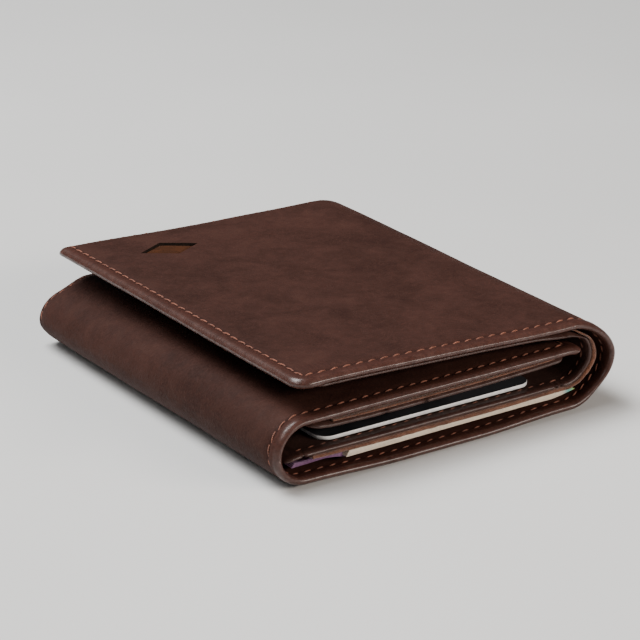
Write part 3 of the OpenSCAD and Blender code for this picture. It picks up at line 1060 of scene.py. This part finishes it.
def plate(name, outline, z0, z1, bevel):
    """A flat plate with its edges eased, its faces in slot 0 and its edge in slot 1."""
    piece = new_object(name, bpy.data.meshes.new(name))
    bm = bmesh.new()
    cx = sum(p[0] for p in outline) / len(outline)
    cy = sum(p[1] for p in outline) / len(outline)
    rings = []
    for z, pull in ((z0, bevel), (z0 + bevel, 0), (z1 - bevel, 0), (z1, bevel)):
        ring = []
        for x, y in outline:
            d = math.hypot(x - cx, y - cy)
            k = 1 - pull / d
            ring.append(bm.verts.new(((cx + (x - cx) * k) * MM, (cy + (y - cy) * k) * MM, z * MM)))
        rings.append(ring)
    count = len(outline)
    for low, high in zip(rings, rings[1:]):
        for i in range(count):
            j = (i + 1) % count
            side = bm.faces.new((low[i], low[j], high[j], high[i]))
            side.material_index = 1
            side.smooth = True
    for ring in (list(reversed(rings[0])), rings[-1]):
        face = bm.faces.new(ring)
        for e in face.edges:
            e.smooth = False
    bmesh.ops.recalc_face_normals(bm, faces=bm.faces)
    bm.to_mesh(piece.data)
    bm.free()
    return piece


# Painted shade: the faces are dark print, and dark also for the shadow that lies over the card;
# sheen_bands vary them as painted sheen.
card_face, tree, shader, place = new_material("card_face", 0.5)
sheen_bands = noise_at(tree, place, 60, 2).between(0.35, 0.65)
grain = noise_at(tree, place, 2200, 2).between(0.3, 0.7)
ink_and_painted_shade = mix_color(tree, sheen_bands, (0.012, 0.013, 0.016), (0.035, 0.037, 0.042))
attach(tree, shader, Base_Color=ink_and_painted_shade, Roughness=0.28 + 0.12 * grain)
card_core, tree, shader, place = new_material("card_core", 0.5)
layers = noise_at(tree, place, 700, 3).between(0.3, 0.7)
white = mix_color(tree, layers, (0.70, 0.71, 0.71), (0.86, 0.87, 0.87))
attach(tree, shader, Base_Color=white, Roughness=0.35 + 0.2 * layers)
card_sides = (CARD_X - CARD_W / 2, CARD_X + CARD_W / 2, CARD_Y, CARD_Y + CARD_L)
card_outline = plate_outline(*card_sides, CARD_CORNER_R)
card = plate("card_plate", card_outline, CARD_Z, CARD_Z + CARD_T, CARD_BEVEL)
card.data.materials.append(card_face)
finish_piece(card, card_core, "card", ["card"])

# ---- Banknotes ---------------------------------------------------------------------------------
# Plain generic notes of printed paper, folded in half in small bundles. Their near edges fan
# out a little, and the cream bundle lies on the purple one.

SHEET_GAP = 0.025
PURPLE_LEFT_X = -37.4


def note_bundle(name, x_range, y_range, base, sheets, pitch, shape, fan, edge=None):
    """Thin sheets lying on each other along a curved line, each a closed solid of its own.

    fan is how much further each sheet's left, right and near edges lie than those of the last.
    """
    piece = new_object(name, bpy.data.meshes.new(name))
    bm = bmesh.new()
    shade_of = bm.verts.layers.float.new("sheet_shade")
    columns, rows = 56, 14
    for n in range(sheets):
        x0, x1 = x_range[0] + fan[0] * n, x_range[1] + fan[1] * n
        y0 = y_range[0] + fan[2] * n
        faces = []
        for side in (0, 1):
            grid = []
            for r in range(rows + 1):
                row = []
                for c in range(columns + 1):
                    x = x0 + (x1 - x0) * c / columns
                    near = y0 + (edge(x) if edge else 0)
                    y = near + (y_range[1] - near) * (r / rows) ** 1.6
                    z = base + shape(x, y) + n * pitch + side * (pitch - SHEET_GAP)
                    z += 0.05 * noise.noise(Vector((x / 9, y / 12, n * 3.1)))
                    vert = bm.verts.new((x * MM, y * MM, z * MM))
                    vert[shade_of] = n / max(1, sheets - 1)
                    row.append(vert)
                grid.append(row)
            faces.append(grid)
        low, high = faces
        for r in range(rows):
            for c in range(columns):
                bm.faces.new((high[r][c], high[r][c + 1], high[r + 1][c + 1], high[r + 1][c]))
                bm.faces.new((low[r][c], low[r + 1][c], low[r + 1][c + 1], low[r][c + 1]))
        ring = [(0, c) for c in range(columns)]
        ring += [(r, columns) for r in range(rows)]
        ring += [(rows, c) for c in range(columns, 0, -1)]
        ring += [(r, 0) for r in range(rows, 0, -1)]
        for a, b in zip(ring, [*ring[1:], ring[0]]):
            wall = bm.faces.new(
                (low[a[0]][a[1]], low[b[0]][b[1]], high[b[0]][b[1]], high[a[0]][a[1]])
            )
            for e in wall.edges:
                e.smooth = False
    return fill_mesh(piece, bm)


def paper_material(name, dark, light, tip=None):
    """Printed paper: fine engraved lines over a soft tint, a little different on each sheet."""
    material, tree, shader, place = new_material(name, 0.3)
    sheet = node(tree, "ShaderNodeAttribute", {"attribute_name": "sheet_shade"}, out=2)
    lines = node(
        tree, "ShaderNodeTexWave", {"bands_direction": "X"}, Vector=place, Scale=330,
        Distortion=4, Detail=2,
    )
    tint = noise_at(tree, place, 90, 3, 0.6).between(0.3, 0.7)
    fibre = noise_at(tree, place, 1800, 3, 0.7).between(0.3, 0.7)
    color = mix_color(tree, 0.12 * lines + 0.4 * tint + 0.48 * sheet, dark, light)
    if tip:
        axes = node(tree, "ShaderNodeSeparateXYZ", {}, place)
        at_tip = axes.between(0.0310, 0.0335)
        hue = axes.between(0.0325, 0.0352)
        color = mix_color(tree, at_tip, color, mix_color(tree, hue, *tip))
    bump = node(tree, "ShaderNodeBump", {}, Strength=0.15, Distance=0.0001, Height=fibre)
    attach(tree, shader, Base_Color=color, Roughness=0.7 + 0.2 * fibre, Normal=bump)
    return material


cream_paper = paper_material(
    "cream_paper", (0.60, 0.50, 0.39), (0.88, 0.79, 0.67), ((0.10, 0.42, 0.42), (0.36, 0.46, 0.10))
)
purple_paper = paper_material("purple_paper", (0.13, 0.055, 0.13), (0.34, 0.20, 0.33))


def cream_shape(x, y):
    far = smooth((y + 30) / 30)
    return 0.15 * math.sin((x + 6) / 16) * (1 - far) + 1.2 * smooth((x - 27.5) / 10)


def purple_edge(x):
    """It lies a little askew, so most of its near edge hides beneath the cream bundle."""
    return 0.055 * (x - PURPLE_LEFT_X)


def purple_shape(x, y):
    return 1.2 * smooth((-21.0 - x) / 9) * (1 - 0.8 * smooth((y + 36) / 30)) - 0.1


cream = note_bundle(
    "cream_notes", (-24.5, 34.6), (-47.6, 17), 3.55, 7, 0.185, cream_shape, (0.2, -0.35, 0.08)
)
finish_piece(cream, cream_paper, "note_cream", ["note_cream"])
purple = note_bundle(
    "purple_notes", (PURPLE_LEFT_X, 19.5), (-47.0, 18.5), 2.8, 4, 0.17, purple_shape,
    (0.3, -0.4, 0.12), purple_edge,
)
finish_piece(purple, purple_paper, "note_purple", ["note_purple"])

# ---- Floor, light and camera -------------------------------------------------------------------
# A plain pale floor under soft studio light: broad light from above and behind, and a low strip
# from the front right that runs a shine along the turned edges. The camera looks down past the
# wallet's left front corner.

FLOOR_Z = -0.12 * MM  # just clear of the underside
CAMERA_AT = (-0.28849, -0.42844, 0.20956)
CAMERA_TO = (0.00121, 0.0, 0.01242)
floor_mesh = bpy.data.meshes.new("floor")
floor = new_object("floor", floor_mesh)
corners = ((-3, -3), (3, -3), (3, 5), (-3, 5))
floor_mesh.from_pydata([(x, y, FLOOR_Z) for x, y in corners], [], [(0, 1, 2, 3)])
floor_material, tree, shader, place = new_material("floor_paper", 0.3, Roughness=0.8)
tone = noise_at(tree, place, 3, 3).between(0.3, 0.7)
attach(tree, shader, Base_Color=mix_color(tree, tone, (0.62, 0.62, 0.61), (0.68, 0.68, 0.67)))
floor_mesh.materials.append(floor_material)


def aim(holder, at, to):
    holder.location = at
    holder.rotation_euler = (Vector(to) - Vector(at)).to_track_quat("-Z", "Y").to_euler()


def soft_light(name, at, to, size, power, color=(1, 1, 1)):
    lamp = bpy.data.lights.new(name, "AREA")
    lamp.shape, lamp.size, lamp.size_y = "RECTANGLE", *size
    lamp.energy, lamp.color = power, color
    aim(new_object(name, lamp), at, to)


soft_light("key_light", (-0.30, 0.25, 0.85), (0, 0, 0), (0.55, 0.55), 15.5)
soft_light("fill_light", (-0.70, -0.15, 0.75), (0, 0, 0), (0.4, 0.4), 2.0)
warm_white = (1.0, 0.90, 0.81)
soft_light("front_light", (0.34, -0.72, 0.34), (0, 0, 0.01), (0.5, 0.10), 6.3, warm_white)
world = bpy.data.worlds.new("studio")
bpy.context.scene.world = world
world.use_nodes = True
background = world.node_tree.nodes["Background"]
background.inputs["Color"].default_value = (0.9, 0.92, 0.95, 1)
background.inputs["Strength"].default_value = 0.12

camera_data = bpy.data.cameras.new("camera")
camera = new_object("camera", camera_data)
camera_data.lens, camera_data.sensor_width = 141.35, 36.0
camera_data.clip_start, camera_data.clip_end = 0.02, 20
aim(camera, CAMERA_AT, CAMERA_TO)
bpy.context.scene.camera = camera
